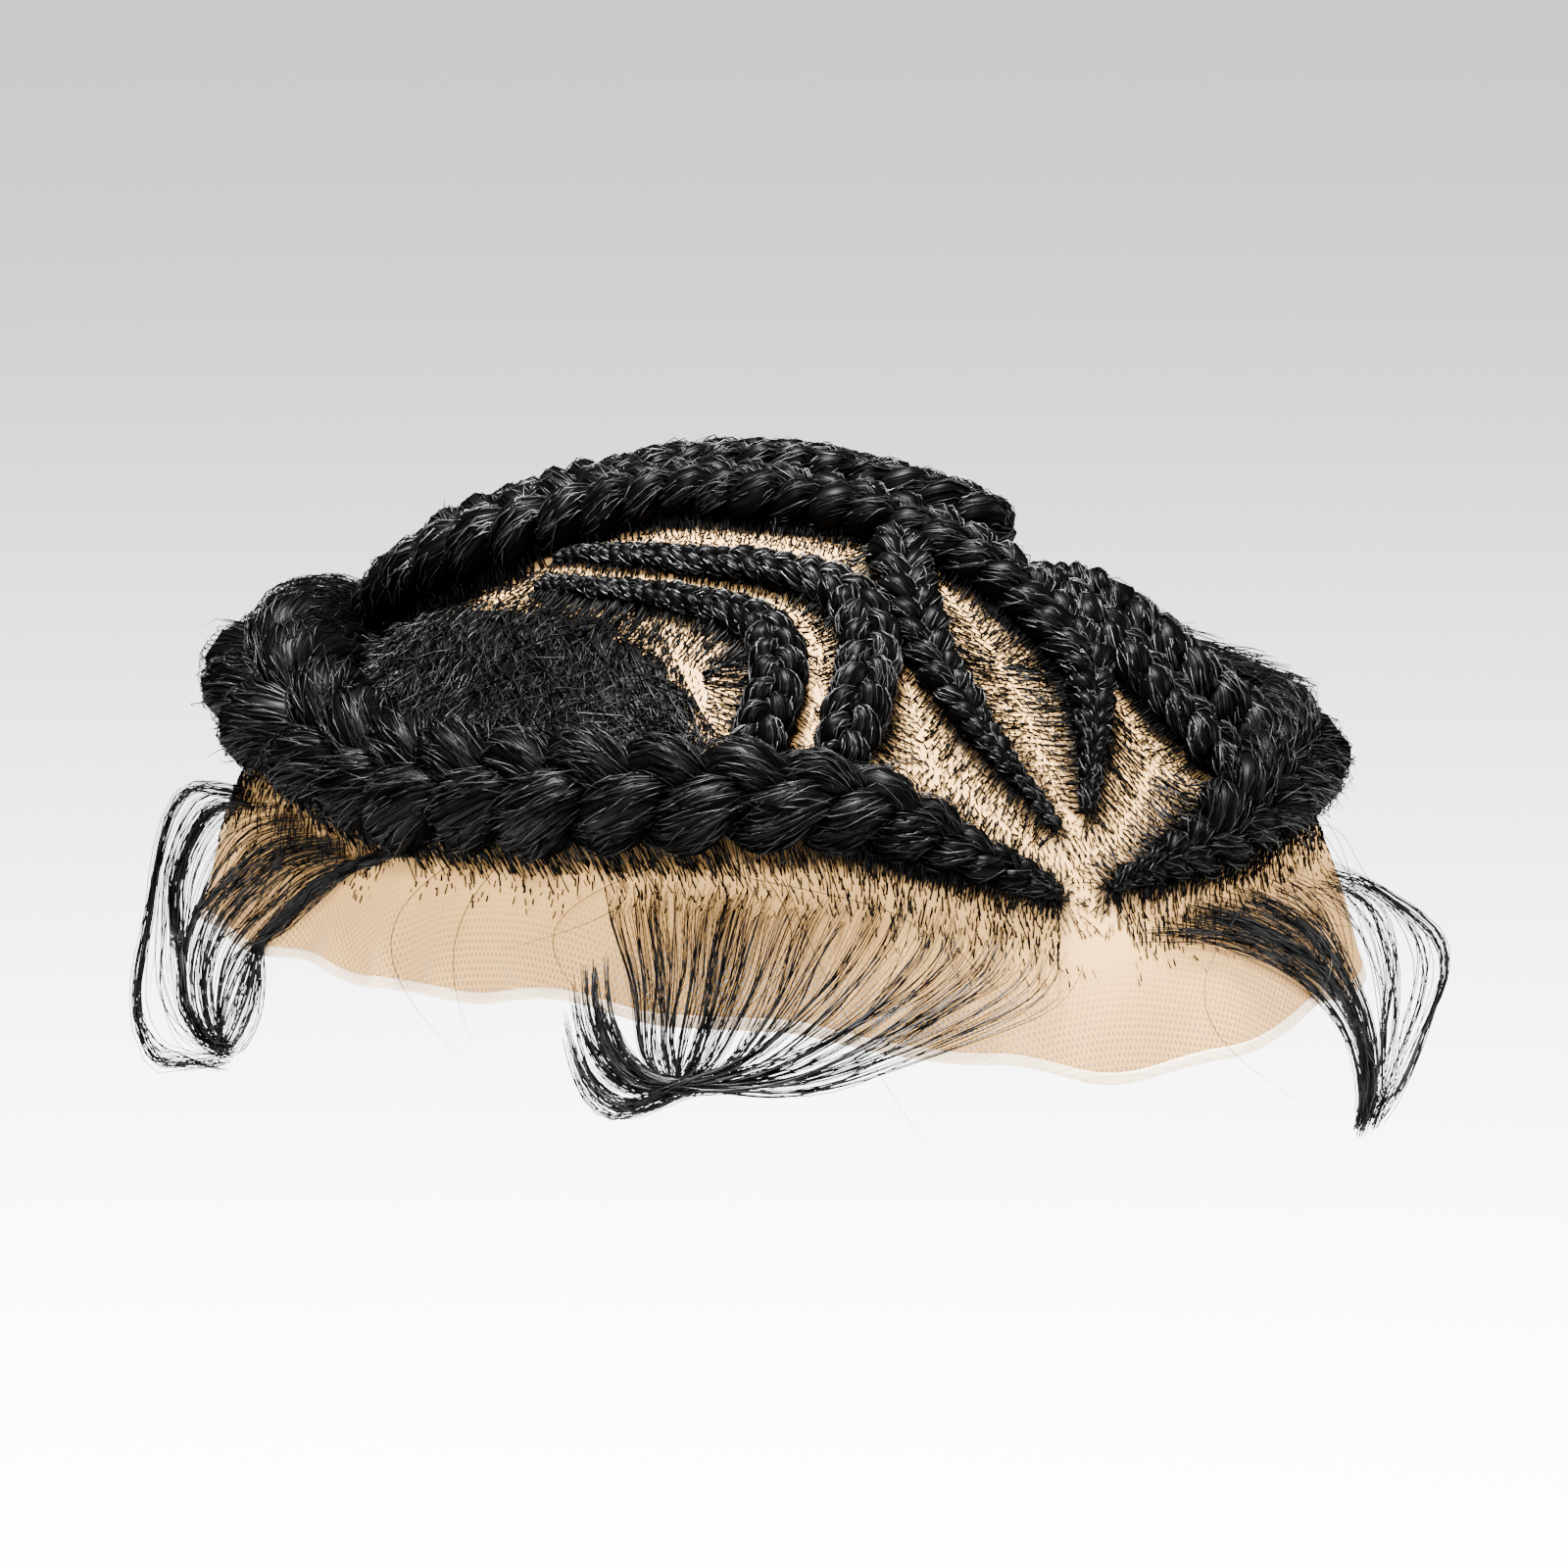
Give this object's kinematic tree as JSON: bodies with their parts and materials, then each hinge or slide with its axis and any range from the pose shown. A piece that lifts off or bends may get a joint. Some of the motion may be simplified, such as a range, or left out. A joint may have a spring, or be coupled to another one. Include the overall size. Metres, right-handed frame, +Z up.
{
  "type": "cornrow toupee",
  "caption": "Domed lace hairpiece with cornrow braids laid flat on the cap, combed side panels and loose curled locks along a bare net margin.",
  "frame": {"origin": "underside of the lace at the crown, where the top of a head carries the piece", "axes": "+Z up, -Y towards the forehead, +X towards the wearer's left"},
  "size_m": [0.1673, 0.1907, 0.1037],
  "materials": {
    "lace": "fine tan net, matt",
    "hair": "black crimped hair, soft sheen"
  },
  "bodies": {
    "root": {"lace_base": "lace", "right_side_braid": "hair", "left_side_braid": "hair", "left_centre_braid": "hair", "right_centre_braid": "hair", "right_upper_bend_braid": "hair", "right_lower_bend_braid": "hair", "left_upper_bend_braid": "hair", "left_lower_bend_braid": "hair", "crown_braid_1": "hair", "crown_braid_2": "hair", "crown_braid_3": "hair", "crown_braid_4": "hair", "crown_braid_5": "hair", "right_combed_panel": "hair", "left_combed_panel": "hair", "front_swoop_lock": "hair", "right_temple_lock": "hair", "left_temple_lock": "hair"}
  },
  "joints": []
}
